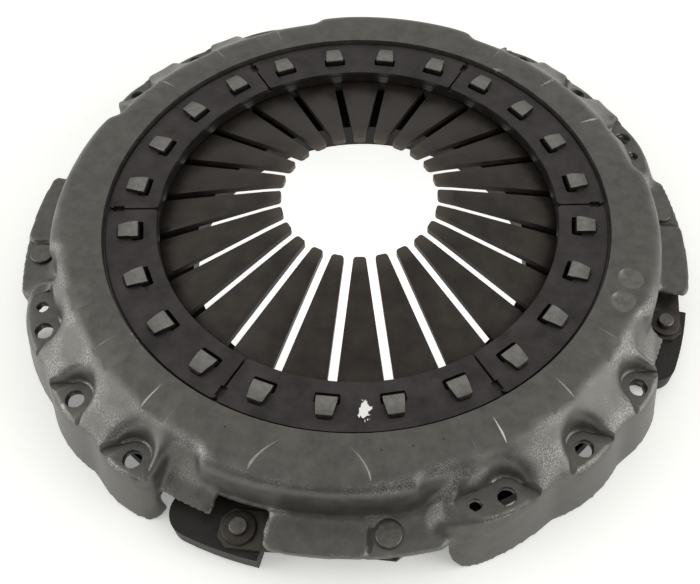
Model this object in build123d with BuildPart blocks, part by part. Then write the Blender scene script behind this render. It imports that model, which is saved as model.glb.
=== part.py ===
"""Clutch cover assembly of a heavy truck: a diaphragm spring that presses a plate against the clutch disc.

Millimetres, +Z up, origin on the axis at the lower edge of the cover's skirts. The whole assembly
repeats four times round the axis: three bolt pads and one strap pocket to each quarter. Angles are in
degrees, anticlockwise from +X, and name the front quarter.
"""

import os
from math import cos, degrees, hypot, radians, sin, tan

from build123d import *

os.makedirs("parts", exist_ok=True)

# Pattern round the axis
QUARTERS = 4
FINGERS = 24
SEGMENTS = 6
BOLT_ANGLES = (-60.0, -45.0, -30.0)
STRAP_AXIS = -90.0

# Cover pressing, from the spring's fulcrum outward and from the crown downward
FULCRUM_R = 161.0
SHEET = 6.0
CROWN_Z = 67.5
RECESS_DEPTH = 6.0
LAND_WIDTH = 22.0
RECESS_WIDTH = 14.3
CROWN_WIDTH = 30.7
SHOULDER_ROUND = 9.5
WALL_DRAFT = 7.5
ROOT_ROUND = 5.0
ROOT_WIDTH = 6.0
LAND_Z = CROWN_Z - RECESS_DEPTH
LAND_BORE_R = FULCRUM_R - LAND_WIDTH
RECESS_R = FULCRUM_R + RECESS_WIDTH
SHOULDER_R = RECESS_R + CROWN_WIDTH
WALL_R = SHOULDER_R + WALL_DRAFT

# Fuller shoulder of the crown beside the strap pockets
BULGE = 7.0
BULGE_ROUND = 10.0
BULGE_DRAFT = 2.5
BULGE_START = -109.0
BULGE_END = -73.0
BULGE_R = SHOULDER_R + BULGE

# Bolt pads and skirt
BOLT_OFFSET = 11.5
BOLT_HOLE = 11.0
DOWEL_SETBACK = 2.0
DOWEL_ANGLE = -65.0
DOWEL_HOLE = 7.2
PAD_DEPTH = 24.0
PAD_R = 12.5
PAD_FLARE = 5.5
PAD_DRAFT = 14.0
PAD_EDGE = 4.0
WIDE_PAD_SETBACK = 9.0
LOBE_REACH = 19.0
LOBE_RISE = 4.0
SKIRT_LEAN = 11.5
SKIRT_CORNER = 9.0
DIP_ROUND = 28.0
SKIRT_START = -70.0
RAMP = 0.27
SKIRT_END = -25.0
SKIRT_ROUND = 16.0
CUT_REACH = 56.0
RIDGE_SETBACK = 7.0
RIDGE_DROP = 2.0
RIDGE_REACH = 9.0
RIDGE_LIFT = 4.0
GROOVE_WIDTH = 17.0
GROOVE_SETBACK = 7.7
GROOVE_DEPTH = 2.5
CHUTE_DEPTH = 14.0
BOLT_R = WALL_R + BOLT_OFFSET
DOWEL_R = BOLT_R - DOWEL_SETBACK
PAD_Z = CROWN_Z - PAD_DEPTH
WIDE_PAD_R = BOLT_R - WIDE_PAD_SETBACK
SKIRT_LOBE_R = BOLT_R + LOBE_REACH
SKIRT_DIP_R = SKIRT_LOBE_R - LOBE_RISE
RIDGE_R = SHOULDER_R - RIDGE_SETBACK
RIDGE_LOW_R = BOLT_R + RIDGE_REACH
RIDGE_LOW_Z = PAD_Z + RIDGE_LIFT
GROOVE_R = RECESS_R + GROOVE_SETBACK

# Marks on the crown
RELIEF_SETBACK = 5.7
RELIEF_ROUND = 38.0
RELIEF_TILT = 3.5
BALANCE_SETBACK = 17.7
BALANCE_ANGLES = (-19.0, -13.0)
BALANCE_DRILL = 19.0
BALANCE_NIB = 2.4
BALANCE_DEPTH = 1.2
RELIEF_R = RECESS_R + RELIEF_SETBACK
BALANCE_R = RECESS_R + BALANCE_SETBACK

# Strap pocket of the cover
FLANGE_REACH = 25.5
BRIDGE_DEPTH = 32.0
SEAT_DROP = 2.0
SPOT_FACE = 1.5
BRIDGE_START = -97.0
BRIDGE_END = -82.0
BRIDGE_CORNER = 7.0
WINDOW_START = -106.0
WINDOW_SETBACK = 3.0
FLARE_REACH = 20.5
FLARE_KNEE_SETBACK = 3.5
FLARE_KNEE_LIFT = 2.5
FLARE_DROP = 9.0
FLARE_ROUND = 22.0
FLANGE_R = WALL_R + FLANGE_REACH
BRIDGE_Z = CROWN_Z - BRIDGE_DEPTH
SEAT_Z = BRIDGE_Z - SEAT_DROP
WINDOW_R = WALL_R + WINDOW_SETBACK
FLARE_R = WALL_R + FLARE_REACH
FLARE_KNEE_R = WALL_R + FLARE_KNEE_SETBACK
FLARE_KNEE_Z = BRIDGE_Z + FLARE_KNEE_LIFT
FLARE_LOW_Z = BRIDGE_Z - FLARE_DROP

# Diaphragm spring and its fulcrum rings
RING_WIRE = 6.0
SPRING_LEVER = 41.0
SPRING_SHEET = 4.2
TIP_R = 54.3
CONE_ANGLE = 15.0
SLOT_WIDTH = 6.2
NOSE = 12.0
NOSE_DROP = 0.6
TIP_ROUND = 2.4
SPRING_R = FULCRUM_R + SPRING_LEVER

# Retaining hooks and preload segments
HOOK_SHEET = 4.0
HOOK_WIDTH = 13.2
HOOK_END_WIDTH = 9.6
HOOK_ROUND = 3.0
HOOK_REACH = 15.2
HOOK_BACK = 2.6
HOOK_CLEARANCE = 2.0
HOOK_GAP = 0.7
TAB_SHEET = 3.4
SEGMENT_SHEET = 3.0
SEGMENT_LIP = 1.7
SEGMENT_GAP = 0.8
SEGMENT_SPLIT = 1.4
SEGMENT_ROUND = 3.0
NOTCH_WIDTH = 5.0
HOOK_R = FULCRUM_R - RING_WIRE / 2 - HOOK_CLEARANCE - HOOK_SHEET
HOOK_SLOT = HOOK_BACK + HOOK_SHEET + HOOK_GAP
HOOK_SLOT_R = HOOK_R - HOOK_BACK + HOOK_SLOT / 2
SEGMENT_INNER_R = LAND_BORE_R + SEGMENT_LIP
SEGMENT_OUTER_R = RECESS_R - SEGMENT_GAP
NOTCH_R = FULCRUM_R

# Pressure plate
PLATE_REACH = 4.5
PLATE_BORE_SETBACK = 38.0
PLATE_DEPTH = 20.0
FULCRUM_LIFT = 13.1
FULCRUM_WIDTH = 8.0
FULCRUM_GAP = 16.0
FULCRUM_PARTS = 12
CONTACT_SETBACK = 4.0
RIM_WIDTH = 11.0
RIM_DROP = 5.3
LUG_REACH = 24.0
LUG_START = -113.3
LUG_END = -97.5
LUG_ROUND = 16.0
LUG_DEPTH = 13.2
LUG_ROOT = 6.0
PLATE_R = WALL_R + PLATE_REACH
PLATE_BORE_R = FULCRUM_R - PLATE_BORE_SETBACK
CONTACT_R = SPRING_R - CONTACT_SETBACK
RIM_R = PLATE_R - RIM_WIDTH
LUG_R = PLATE_R + LUG_REACH

# Straps and their rivets
STRAP_SETBACK = 13.4
STRAP_HALF_ANGLE = 11.5
LEAVES = 3
LEAF = 1.0
STRAP_WIDTH = 24.0
STRAP_END = 12.0
SHANK = 8.0
COVER_HEAD = 16.0
COVER_HEAD_HEIGHT = 2.4
TAIL_HEAD = 13.0
TAIL_HEIGHT = 2.5
LUG_HEAD = 11.0
LUG_HEAD_HEIGHT = 4.0
WASHER = 21.0
WASHER_SHEET = 2.4
FIT = 0.3
STRAP_R = WALL_R + STRAP_SETBACK


def at(radius, angle):
    """Point in plan at a radius and an angle."""
    return (radius * cos(radians(angle)), radius * sin(radians(angle)))


def radial_plane(angle):
    """Upright plane through the axis: local x runs outward at the angle, local y runs up."""
    turn = radians(angle)
    return Plane(origin=(0, 0, 0), x_dir=(cos(turn), sin(turn), 0), z_dir=(sin(turn), -cos(turn), 0))


def sector(inner, outer, start, end):
    """Ring sector in plan."""
    middle = (start + end) / 2
    with BuildSketch() as ring:
        with BuildLine():
            ThreePointArc(at(inner, start), at(inner, middle), at(inner, end))
            Line(at(inner, end), at(outer, end))
            ThreePointArc(at(outer, end), at(outer, middle), at(outer, start))
            Line(at(outer, start), at(inner, start))
        make_face()
    return ring.sketch


def sector_block(inner, outer, start, end, low, high):
    """Ring sector raised between two heights."""
    with BuildPart() as block:
        with BuildSketch(Plane.XY.offset(low)):
            add(sector(inner, outer, start, end))
        extrude(amount=high - low)
    return block.part


# Heights that follow from the stack: cover land, ring, spring, ring, hook foot
TOUCH = 0.02
PERIOD = 360.0 / QUARTERS
PITCH = 360.0 / FINGERS
LEAN = cos(radians(CONE_ANGLE))
RING_R = RING_WIRE / 2
LAND_UNDER_Z = LAND_Z - SHEET
UPPER_RING_Z = LAND_UNDER_Z - RING_R - TOUCH
SPRING_TOP_Z = UPPER_RING_Z - (RING_R + TOUCH) / LEAN
SPRING_RISE = SPRING_SHEET / LEAN
LOWER_RING_Z = SPRING_TOP_Z - SPRING_RISE - (RING_R + TOUCH) / LEAN
FOOT_Z = LOWER_RING_Z - RING_R - TOUCH
SEGMENT_TOP_Z = LAND_Z + SEGMENT_SHEET
SEAT_UNDER_Z = SEAT_Z - SHEET
STRAP_SHEET = LEAVES * LEAF
LUG_ANGLE = STRAP_AXIS - STRAP_HALF_ANGLE
RIVET_ANGLE = STRAP_AXIS + STRAP_HALF_ANGLE
HOLE = SHANK + FIT


def spring_top(radius):
    """Height of the spring's upper surface at a radius."""
    return SPRING_TOP_Z + (FULCRUM_R - radius) * tan(radians(CONE_ANGLE))


# Heights of the pressure plate, down from where the spring touches it
PLATE_Z = spring_top(CONTACT_R) - SPRING_RISE - FULCRUM_LIFT
FACE_Z = PLATE_Z - PLATE_DEPTH
RIM_Z = PLATE_Z - RIM_DROP
LUG_LOW_Z = RIM_Z - LUG_DEPTH
STRAP_TOP_Z = RIM_Z + STRAP_SHEET

# Solids below the pressed surface of one quarter, set in by the sheet for its underside
BASE_Z = 0.0
FAR_R = SKIRT_LOBE_R + CUT_REACH
CORE_R = RECESS_R + 2 * SHEET
QUARTER_END = STRAP_AXIS + PERIOD
BRIDGE_NEXT = BRIDGE_START + PERIOD
WINDOW_NEXT = WINDOW_START + PERIOD


def crown_form(inset):
    """Crown, recessed land and drawn wall."""
    recess = RECESS_R + inset / 2
    base = BASE_Z - inset
    corner = (SHOULDER_R - inset, CROWN_Z - inset)
    root = (WALL_R - inset, BRIDGE_Z - inset)
    with BuildPart() as form:
        with BuildSketch(radial_plane(STRAP_AXIS - inset)) as profile:
            with BuildLine():
                Polyline(
                    (0, base),
                    (0, LAND_Z - inset),
                    (recess, LAND_Z - inset),
                    (recess, CROWN_Z - inset),
                    corner,
                    root,
                    (WALL_R + ROOT_WIDTH, BRIDGE_Z - inset),
                    (WALL_R + ROOT_WIDTH, base),
                    close=True,
                )
            make_face()
            fillet(profile.vertices().sort_by_distance(corner)[0], SHOULDER_ROUND - inset)
            fillet(profile.vertices().sort_by_distance(root)[0], ROOT_ROUND + inset)
        revolve(axis=Axis.Z, revolution_arc=PERIOD + 2 * inset)
    return form.part


def bulge_form(inset):
    """Fuller shoulder of the crown on both sides of the strap axis."""
    base = BASE_Z - inset
    corner = (BULGE_R - inset, CROWN_Z - inset)
    foot_r = BULGE_R + BULGE_DRAFT - inset
    trim = degrees(inset / BULGE_R)
    sweeps = (
        (STRAP_AXIS - inset, BULGE_END - trim),
        (BULGE_START + PERIOD + trim, QUARTER_END + inset),
    )
    with BuildPart() as form:
        for start, end in sweeps:
            with BuildSketch(radial_plane(start)) as profile:
                with BuildLine():
                    Polyline(
                        (CORE_R, base),
                        (CORE_R, CROWN_Z - inset),
                        corner,
                        (foot_r, BRIDGE_Z - inset),
                        (foot_r, base),
                        close=True,
                    )
                make_face()
                fillet(profile.vertices().sort_by_distance(corner)[0], BULGE_ROUND - inset)
            revolve(axis=Axis.Z, revolution_arc=end - start)
    return form.part


def skirt_outline(height, inset):
    """Plan of the bolt pads at a height: one outward lobe to each bolt, and a ramp at the start."""
    lean = tan(radians(SKIRT_LEAN)) * height + inset
    trim = degrees(inset / SKIRT_DIP_R)
    start = SKIRT_START + RAMP * (height - PAD_Z) + trim
    end = SKIRT_END - trim
    half = (BOLT_ANGLES[1] - BOLT_ANGLES[0]) / 2
    dips = [BOLT_ANGLES[0] + half, BOLT_ANGLES[1] + half]
    stops = [start] + dips + [end]
    dip_r = SKIRT_DIP_R - lean
    with BuildSketch(Plane.XY.offset(height)) as outline:
        with BuildLine():
            for first, last, bolt in zip(stops, stops[1:], BOLT_ANGLES):
                ThreePointArc(at(dip_r, first), at(SKIRT_LOBE_R - lean, bolt), at(dip_r, last))
            Line(at(dip_r, end), at(CORE_R, end))
            ThreePointArc(at(CORE_R, end), at(CORE_R, BOLT_ANGLES[1]), at(CORE_R, start))
            Line(at(CORE_R, start), at(dip_r, start))
        make_face()
        fillet([outline.vertices().sort_by_distance(at(dip_r, dip))[0] for dip in dips], DIP_ROUND + inset)
        ends = [outline.vertices().sort_by_distance(at(dip_r, edge))[0] for edge in (start, end)]
        fillet(ends, SKIRT_CORNER - inset)
    return outline.sketch


def ridge_height(radius, inset):
    """Height of the sloping ridges between the bolt pads."""
    top = CROWN_Z - RIDGE_DROP
    slope = (top - RIDGE_LOW_Z) / (RIDGE_LOW_R - RIDGE_R)
    return top - inset - (radius + inset / 2 - RIDGE_R) * slope


def skirt_form(inset):
    """Sloping shoulder and flared skirt of the bolt pads."""
    with BuildPart() as form:
        add(skirt_outline(BASE_Z - inset, inset))
        add(skirt_outline(CROWN_Z, inset))
        loft()
        with BuildSketch(Plane.XZ):
            with BuildLine():
                Polyline(
                    (0, BASE_Z - inset),
                    (0, CROWN_Z - RIDGE_DROP - inset),
                    (RIDGE_R - inset / 2, CROWN_Z - RIDGE_DROP - inset),
                    (FAR_R, ridge_height(FAR_R, inset)),
                    (FAR_R, BASE_Z - inset),
                    close=True,
                )
            make_face()
        revolve(axis=Axis.Z, mode=Mode.INTERSECT)
    return form.part


def pad_outline(half):
    """Plan of one bolt pocket: a half circle that flares outward, bolt at the origin, +X outward."""
    flare = half + PAD_FLARE
    cusp = PAD_R - PAD_FLARE / 2
    reach = FAR_R - BOLT_R
    with BuildSketch() as outline:
        with BuildLine():
            ThreePointArc((0, half), (-half, 0), (0, -half))
            TangentArc((0, -half), (cusp, -flare), tangent=(1, 0))
            Polyline((cusp, -flare), (reach, -flare), (reach, flare), (cusp, flare))
            TangentArc((0, half), (cusp, flare), tangent=(1, 0))
        make_face()
    return outline.sketch


def bolt_pocket(bolt, inset):
    """Space above one bolt pad, with drafted walls."""
    floor = PAD_Z - inset
    rise = CROWN_Z - floor
    seat = Plane(origin=(*at(BOLT_R, bolt), floor), x_dir=(*at(1, bolt), 0), z_dir=(0, 0, 1))
    with BuildPart() as pocket:
        with BuildSketch(seat):
            add(pad_outline(PAD_R + inset))
        with BuildSketch(seat.offset(rise)):
            add(pad_outline(PAD_R + inset + rise * tan(radians(PAD_DRAFT))))
        loft()
    return pocket.part


def groove(bolt, inset):
    """Radial groove that runs down from the crown as a chute into one bolt pocket."""
    inner = GROOVE_R - inset / 2
    top = CROWN_Z - inset
    with BuildPart() as channel:
        with BuildSketch(radial_plane(bolt)):
            with BuildLine():
                Polyline(
                    (inner, top),
                    (SHOULDER_R, top - GROOVE_DEPTH),
                    (BOLT_R - PAD_R, top - CHUTE_DEPTH),
                    (BOLT_R, top - CHUTE_DEPTH - GROOVE_DEPTH),
                    (BOLT_R, CROWN_Z + SHEET),
                    (inner, CROWN_Z + SHEET),
                    close=True,
                )
            make_face()
        extrude(amount=(GROOVE_WIDTH + inset) / 2, both=True)
    return channel.part


def flare_form(inset):
    """Wall that runs from the skirt's end in to the window over the lug."""
    start = SKIRT_END - inset
    knee = (FLARE_KNEE_R - inset, FLARE_KNEE_Z - inset / 2)
    with BuildPart() as form:
        with BuildSketch(radial_plane(start)) as profile:
            with BuildLine():
                Polyline(
                    (CORE_R, BASE_Z - inset),
                    (CORE_R, LAND_Z - inset),
                    (SHOULDER_R - inset, LAND_Z - inset),
                    knee,
                    (FLARE_R - inset, FLARE_LOW_Z - SHEET - inset / 2),
                    (FLARE_R - inset, BASE_Z - inset),
                    close=True,
                )
            make_face()
            fillet(profile.vertices().sort_by_distance(knee)[0], FLARE_ROUND)
        revolve(axis=Axis.Z, revolution_arc=WINDOW_NEXT - start + inset)
    return form.part


def flange_form(inset):
    """Strap flange: the bridge over the strap, and the lower seat of the cover rivet."""
    outer = FAR_R if inset else FLANGE_R
    low = BASE_Z - inset
    with BuildPart() as form:
        add(sector_block(CORE_R, outer, STRAP_AXIS - inset, BRIDGE_END, low, BRIDGE_Z - inset))
        add(sector_block(CORE_R, outer, BRIDGE_END, SKIRT_START, low, SEAT_Z - inset))
        add(sector_block(CORE_R, outer, BRIDGE_NEXT - inset, QUARTER_END + inset, low, BRIDGE_Z - inset))
    return form.part


def quarter_form(inset):
    """Everything below the pressed surface of one quarter; the inset gives its underside."""
    with BuildPart() as form:
        add(crown_form(inset))
        add(bulge_form(inset))
        add(skirt_form(inset))
        add(flare_form(inset))
        for bolt in BOLT_ANGLES:
            add(bolt_pocket(bolt, inset), mode=Mode.SUBTRACT)
            add(groove(bolt, inset), mode=Mode.SUBTRACT)
        wide_pad_r = WIDE_PAD_R - inset
        add(
            sector_block(wide_pad_r, FAR_R, SKIRT_START - PITCH / 2, BOLT_ANGLES[0], PAD_Z - inset, CROWN_Z),
            mode=Mode.SUBTRACT,
        )
        add(flange_form(inset))
    return form.part


def skirt_corner():
    """Waste below the rounded lower corner at the start of the skirt."""
    side = Plane(
        origin=(*at(CORE_R, SKIRT_START), BASE_Z),
        x_dir=(*at(1, SKIRT_START + 90), 0),
        z_dir=(*at(1, SKIRT_START), 0),
    )
    middle = SKIRT_ROUND * (1 - cos(radians(45)))
    with BuildPart() as waste:
        with BuildSketch(side):
            with BuildLine():
                Polyline((0, SKIRT_ROUND), (-SHEET, SKIRT_ROUND), (-SHEET, -SHEET), (SKIRT_ROUND, -SHEET))
                Line((SKIRT_ROUND, -SHEET), (SKIRT_ROUND, 0))
                ThreePointArc((SKIRT_ROUND, 0), (middle, middle), (0, SKIRT_ROUND))
            make_face()
        extrude(amount=FAR_R - CORE_R)
    return waste.part


def cover_quarter():
    """Pressed sheet of one quarter, with the strap pocket cut free."""
    low = BASE_Z - SHEET
    with BuildPart() as quarter:
        add(quarter_form(0))
        pad_lips = edges().filter_by_position(Axis.Z, PAD_Z - TOUCH, PAD_Z + TOUCH)
        lip_r = BOLT_R + PAD_R / 2
        fillet([lip for lip in pad_lips if hypot(lip.center().X, lip.center().Y) > lip_r], PAD_EDGE)
        add(quarter_form(SHEET), mode=Mode.SUBTRACT)
        add(sector_block(CORE_R, FAR_R, SKIRT_END, WINDOW_NEXT, low, FLARE_LOW_Z), mode=Mode.SUBTRACT)
        half_way = BRIDGE_Z - SHEET / 2
        add(sector_block(CORE_R, FAR_R, WINDOW_NEXT, BRIDGE_NEXT, low, half_way), mode=Mode.SUBTRACT)
        add(sector_block(WINDOW_R, FAR_R, WINDOW_NEXT, BRIDGE_NEXT, low, LAND_Z), mode=Mode.SUBTRACT)
        add(skirt_corner(), mode=Mode.SUBTRACT)
        with BuildSketch(Plane.XY):
            Circle(LAND_BORE_R)
        extrude(amount=CROWN_Z, mode=Mode.SUBTRACT)
        free_corner = (*at(FLANGE_R, BRIDGE_NEXT), half_way)
        fillet(edges().filter_by(Axis.Z).sort_by_distance(free_corner)[0], BRIDGE_CORNER)
    return quarter.part


def crown_relief():
    """Shallow relief over the front strap: a tilted cut, rounded at its inner end."""
    tilt = radians(RELIEF_TILT)
    start = (*at(RELIEF_R, STRAP_AXIS), CROWN_Z)
    outward = (*at(cos(tilt), STRAP_AXIS), -sin(tilt))
    bed = Plane(origin=start, x_dir=outward, z_dir=(*at(sin(tilt), STRAP_AXIS), cos(tilt)))
    length = WALL_R - RELIEF_R
    with BuildPart() as relief:
        with BuildSketch(bed):
            with BuildLine():
                ThreePointArc((length, RELIEF_ROUND), (0, 0), (length, -RELIEF_ROUND))
                Line((length, -RELIEF_ROUND), (length, RELIEF_ROUND))
            make_face()
        extrude(amount=SHEET)
    return relief.part


with BuildPart() as cover:
    with PolarLocations(0, QUARTERS):
        add(cover_quarter())
    add(crown_relief(), mode=Mode.SUBTRACT)
    with BuildSketch(Plane.XY):
        for bolt in BOLT_ANGLES:
            with PolarLocations(BOLT_R, QUARTERS, start_angle=bolt):
                Circle(BOLT_HOLE / 2)
        with PolarLocations(DOWEL_R, QUARTERS, start_angle=DOWEL_ANGLE):
            Circle(DOWEL_HOLE / 2)
        with PolarLocations(STRAP_R, QUARTERS, start_angle=RIVET_ANGLE):
            Circle(HOLE / 2)
        with PolarLocations(HOOK_SLOT_R, FINGERS):
            RectangleRounded(HOOK_SLOT, HOOK_WIDTH + 2 * HOOK_GAP, HOOK_GAP)
    extrude(amount=CROWN_Z, mode=Mode.SUBTRACT)
    with BuildSketch(Plane.XY.offset(SEAT_Z)):
        with PolarLocations(STRAP_R, QUARTERS, start_angle=RIVET_ANGLE):
            Circle(COVER_HEAD / 2 + SPOT_FACE)
    extrude(amount=SHEET, mode=Mode.SUBTRACT)
    with BuildSketch(Plane.XY.offset(CROWN_Z)):
        with Locations(*[at(BALANCE_R, angle) for angle in BALANCE_ANGLES]):
            Circle(BALANCE_DRILL / 2)
            Circle(BALANCE_NIB / 2, mode=Mode.SUBTRACT)
    extrude(amount=-BALANCE_DEPTH, mode=Mode.SUBTRACT)
cover.part.label = "cover"
export_step(cover.part, "parts/cover.step")

with BuildPart() as diaphragm_spring:
    with BuildSketch(Plane.XZ) as section:
        with BuildLine():
            Polyline(
                (TIP_R, spring_top(TIP_R) - NOSE_DROP),
                (TIP_R + NOSE, spring_top(TIP_R + NOSE)),
                (SPRING_R, spring_top(SPRING_R)),
                (SPRING_R, spring_top(SPRING_R) - SPRING_RISE),
                (TIP_R + NOSE, spring_top(TIP_R + NOSE) - SPRING_RISE),
                (TIP_R, spring_top(TIP_R) - NOSE_DROP - SPRING_RISE),
                close=True,
            )
        make_face()
        fillet(section.vertices().group_by(Axis.X)[-1], SPRING_SHEET / 4)
    revolve(axis=Axis.Z)
    slot_length = HOOK_R - TIP_R
    with BuildSketch(Plane.XY):
        with PolarLocations(TIP_R + slot_length / 2, FINGERS):
            Rectangle(slot_length + SLOT_WIDTH, SLOT_WIDTH)
        with PolarLocations(HOOK_R + HOOK_SHEET / 2, FINGERS):
            RectangleRounded(HOOK_SHEET + 4 * HOOK_GAP, HOOK_WIDTH + 2 * HOOK_GAP, 2 * HOOK_GAP)
    extrude(amount=spring_top(0), mode=Mode.SUBTRACT)
    upright = edges().filter_by(Axis.Z)
    tip_r = TIP_R + TIP_ROUND
    fillet([edge for edge in upright if hypot(edge.center().X, edge.center().Y) < tip_r], TIP_ROUND)
diaphragm_spring.part.label = "diaphragm_spring"
export_step(diaphragm_spring.part, "parts/diaphragm_spring.step")

for ring_name, ring_z in (("upper_fulcrum_ring", UPPER_RING_Z), ("lower_fulcrum_ring", LOWER_RING_Z)):
    with BuildPart() as fulcrum_ring:
        with BuildSketch(Plane.XZ):
            with Locations((FULCRUM_R, ring_z)):
                Circle(RING_R)
        revolve(axis=Axis.Z)
    fulcrum_ring.part.label = ring_name
    export_step(fulcrum_ring.part, f"parts/{ring_name}.step")


def retaining_hook():
    """Bent hook on +X: a foot below the lower ring, a leg, and a tab bent out over the segment."""
    leg = HOOK_R + HOOK_SHEET
    end = HOOK_R + HOOK_REACH
    tab_z = SEGMENT_TOP_Z + TAB_SHEET
    with BuildPart() as hook:
        with BuildSketch(Plane.XZ) as section:
            with BuildLine():
                Polyline(
                    (end, FOOT_Z),
                    (leg, FOOT_Z),
                    (leg, SEGMENT_TOP_Z),
                    (end, SEGMENT_TOP_Z),
                    (end, tab_z - TAB_SHEET / 5),
                    (leg + HOOK_SHEET, tab_z),
                    (HOOK_R, tab_z - TAB_SHEET / 8),
                    (HOOK_R, FOOT_Z - HOOK_SHEET),
                    (end, FOOT_Z - HOOK_SHEET),
                    close=True,
                )
            make_face()
            fillet(section.vertices().sort_by_distance((HOOK_R, tab_z - TAB_SHEET / 8))[0], TAB_SHEET / 2)
            fillet(section.vertices().sort_by_distance((HOOK_R, FOOT_Z - HOOK_SHEET))[0], HOOK_SHEET / 2)
        extrude(amount=HOOK_WIDTH / 2, both=True)
        with BuildSketch(Plane.XY.offset(FOOT_Z - HOOK_SHEET)) as plan:
            with BuildLine():
                Polyline(
                    (HOOK_R, -HOOK_WIDTH / 2),
                    (leg, -HOOK_WIDTH / 2),
                    (end, -HOOK_END_WIDTH / 2),
                    (end, HOOK_END_WIDTH / 2),
                    (leg, HOOK_WIDTH / 2),
                    (HOOK_R, HOOK_WIDTH / 2),
                    close=True,
                )
            make_face()
            fillet(plan.vertices().group_by(Axis.X)[-1], HOOK_ROUND)
        extrude(amount=CROWN_Z, mode=Mode.INTERSECT)
    return hook.part


def preload_segment(start, end):
    """Flat spring-steel segment with a slot for each hook and a notch at the outer half of its ends."""
    gap = degrees(SEGMENT_SPLIT / 2 / SEGMENT_INNER_R)
    with BuildPart() as segment:
        with BuildSketch(Plane.XY.offset(LAND_Z)) as plan:
            add(sector(SEGMENT_INNER_R, SEGMENT_OUTER_R, start + gap, end - gap))
            fillet(plan.vertices(), SEGMENT_ROUND)
            for edge in (start, end):
                notch_length = SEGMENT_OUTER_R - NOTCH_R
                with PolarLocations(NOTCH_R + notch_length / 2, 1, start_angle=edge):
                    Rectangle(notch_length - 2 * SEGMENT_ROUND, NOTCH_WIDTH, mode=Mode.SUBTRACT)
            with PolarLocations(HOOK_SLOT_R, FINGERS):
                RectangleRounded(HOOK_SLOT, HOOK_WIDTH + 4 * HOOK_GAP, 2 * HOOK_GAP, mode=Mode.SUBTRACT)
        extrude(amount=SEGMENT_SHEET)
    return segment.part


SEGMENT_SPAN = 360.0 / SEGMENTS
HOOKS_EACH = FINGERS // SEGMENTS
for index in range(SEGMENTS):
    first = PITCH / 2 + index * SEGMENT_SPAN
    segment = preload_segment(first, first + SEGMENT_SPAN)
    segment.label = f"preload_segment_{index + 1}"
    export_step(segment, f"parts/preload_segment_{index + 1}.step")

    with BuildPart() as retaining_hooks:
        with PolarLocations(0, HOOKS_EACH, start_angle=first + PITCH / 2, angular_range=SEGMENT_SPAN):
            add(retaining_hook())
    retaining_hooks.part.label = f"retaining_hooks_{index + 1}"
    export_step(retaining_hooks.part, f"parts/retaining_hooks_{index + 1}.step")


def lug_outline():
    """Plan of the front lug, with its leading corner rounded off."""
    with BuildSketch() as outline:
        add(sector(RIM_R, LUG_R, LUG_START, LUG_END))
        fillet(outline.vertices().sort_by_distance(at(LUG_R, LUG_START))[0], LUG_ROUND)
    return outline.sketch


with BuildPart() as pressure_plate:
    crest_r = FULCRUM_WIDTH / 2
    crest_z = spring_top(CONTACT_R) - SPRING_RISE - (crest_r + TOUCH) / LEAN
    with BuildSketch(Plane.XZ):
        with BuildLine():
            Polyline((CONTACT_R - crest_r, crest_z), (CONTACT_R - crest_r, PLATE_Z), (PLATE_BORE_R, PLATE_Z))
            Polyline((PLATE_BORE_R, PLATE_Z), (PLATE_BORE_R, FACE_Z), (PLATE_R, FACE_Z), (PLATE_R, RIM_Z))
            Polyline((PLATE_R, RIM_Z), (RIM_R, RIM_Z), (CONTACT_R + crest_r, PLATE_Z))
            Line((CONTACT_R + crest_r, PLATE_Z), (CONTACT_R + crest_r, crest_z))
            ThreePointArc(
                (CONTACT_R + crest_r, crest_z), (CONTACT_R, crest_z + crest_r), (CONTACT_R - crest_r, crest_z)
            )
        make_face()
    revolve(axis=Axis.Z)
    with BuildSketch(Plane.XY.offset(PLATE_Z)):
        with PolarLocations(CONTACT_R, FULCRUM_PARTS, start_angle=PITCH / 2):
            Rectangle(2 * FULCRUM_WIDTH, FULCRUM_GAP)
    extrude(amount=SPRING_TOP_Z, mode=Mode.SUBTRACT)
    with BuildSketch(Plane.XY.offset(LUG_LOW_Z)):
        with PolarLocations(0, QUARTERS):
            add(lug_outline())
    extrude(amount=RIM_Z - LUG_LOW_Z)
    upright = edges().filter_by(Axis.Z)
    roots = [edge for edge in upright if abs(hypot(edge.center().X, edge.center().Y) - PLATE_R) < FIT]
    fillet(roots, LUG_ROOT)
    with BuildSketch(Plane.XY):
        with PolarLocations(STRAP_R, QUARTERS, start_angle=LUG_ANGLE):
            Circle(HOLE / 2)
    extrude(amount=RIM_Z, mode=Mode.SUBTRACT)
    with BuildSketch(Plane.XY):
        with PolarLocations(STRAP_R, QUARTERS, start_angle=LUG_ANGLE):
            Circle(TAIL_HEAD / 2 + FIT)
    extrude(amount=LUG_LOW_Z + 2 * TAIL_HEIGHT, mode=Mode.SUBTRACT)
pressure_plate.part.label = "pressure_plate"
export_step(pressure_plate.part, "parts/pressure_plate.step")


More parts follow.
